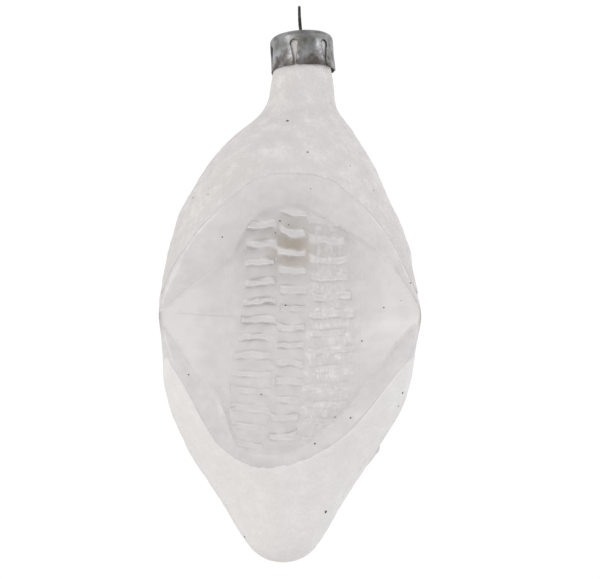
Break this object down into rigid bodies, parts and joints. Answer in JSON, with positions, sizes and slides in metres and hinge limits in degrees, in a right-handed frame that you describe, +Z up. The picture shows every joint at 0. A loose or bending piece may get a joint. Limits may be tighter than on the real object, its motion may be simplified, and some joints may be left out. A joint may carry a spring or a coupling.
{
  "type": "hanging ornament",
  "caption": "Frosted glass spindle ornament with pressed-in ribbed reflectors, a slotted metal cap and a spring wire loop to hang it by.",
  "frame": {"origin": "inner top of the wire loop, where a hook bears", "axes": "+Z up along the neck and the loop, -Y the front, towards which one reflector faces, +X along the hook's bar"},
  "size_m": [0.0492, 0.0454, 0.1064],
  "materials": {
    "wire": "dull drawn wire",
    "cap": "thin pressed sheet, dull and slightly tarnished",
    "glass": "clear blown glass, unsilvered, slightly milky",
    "frost": "white frost of fine grains in clear lacquer"
  },
  "bodies": {
    "hanger": {"hanger_wire": "wire"},
    "cap": {"cap": "cap"},
    "bulb": {"glass_bulb": "glass", "frost_coat_crown": "frost", "frost_coat_tip": "frost"}
  },
  "joints": [
    {"name": "loop_push", "type": "slide", "parent": "hanger", "child": "cap", "axis": [0, 0, 1], "range_m": [0, 0.0015]},
    {"name": "bulb_pull", "type": "slide", "parent": "cap", "child": "bulb", "axis": [0, 0, -1], "range_m": [0, 0.02]}
  ]
}
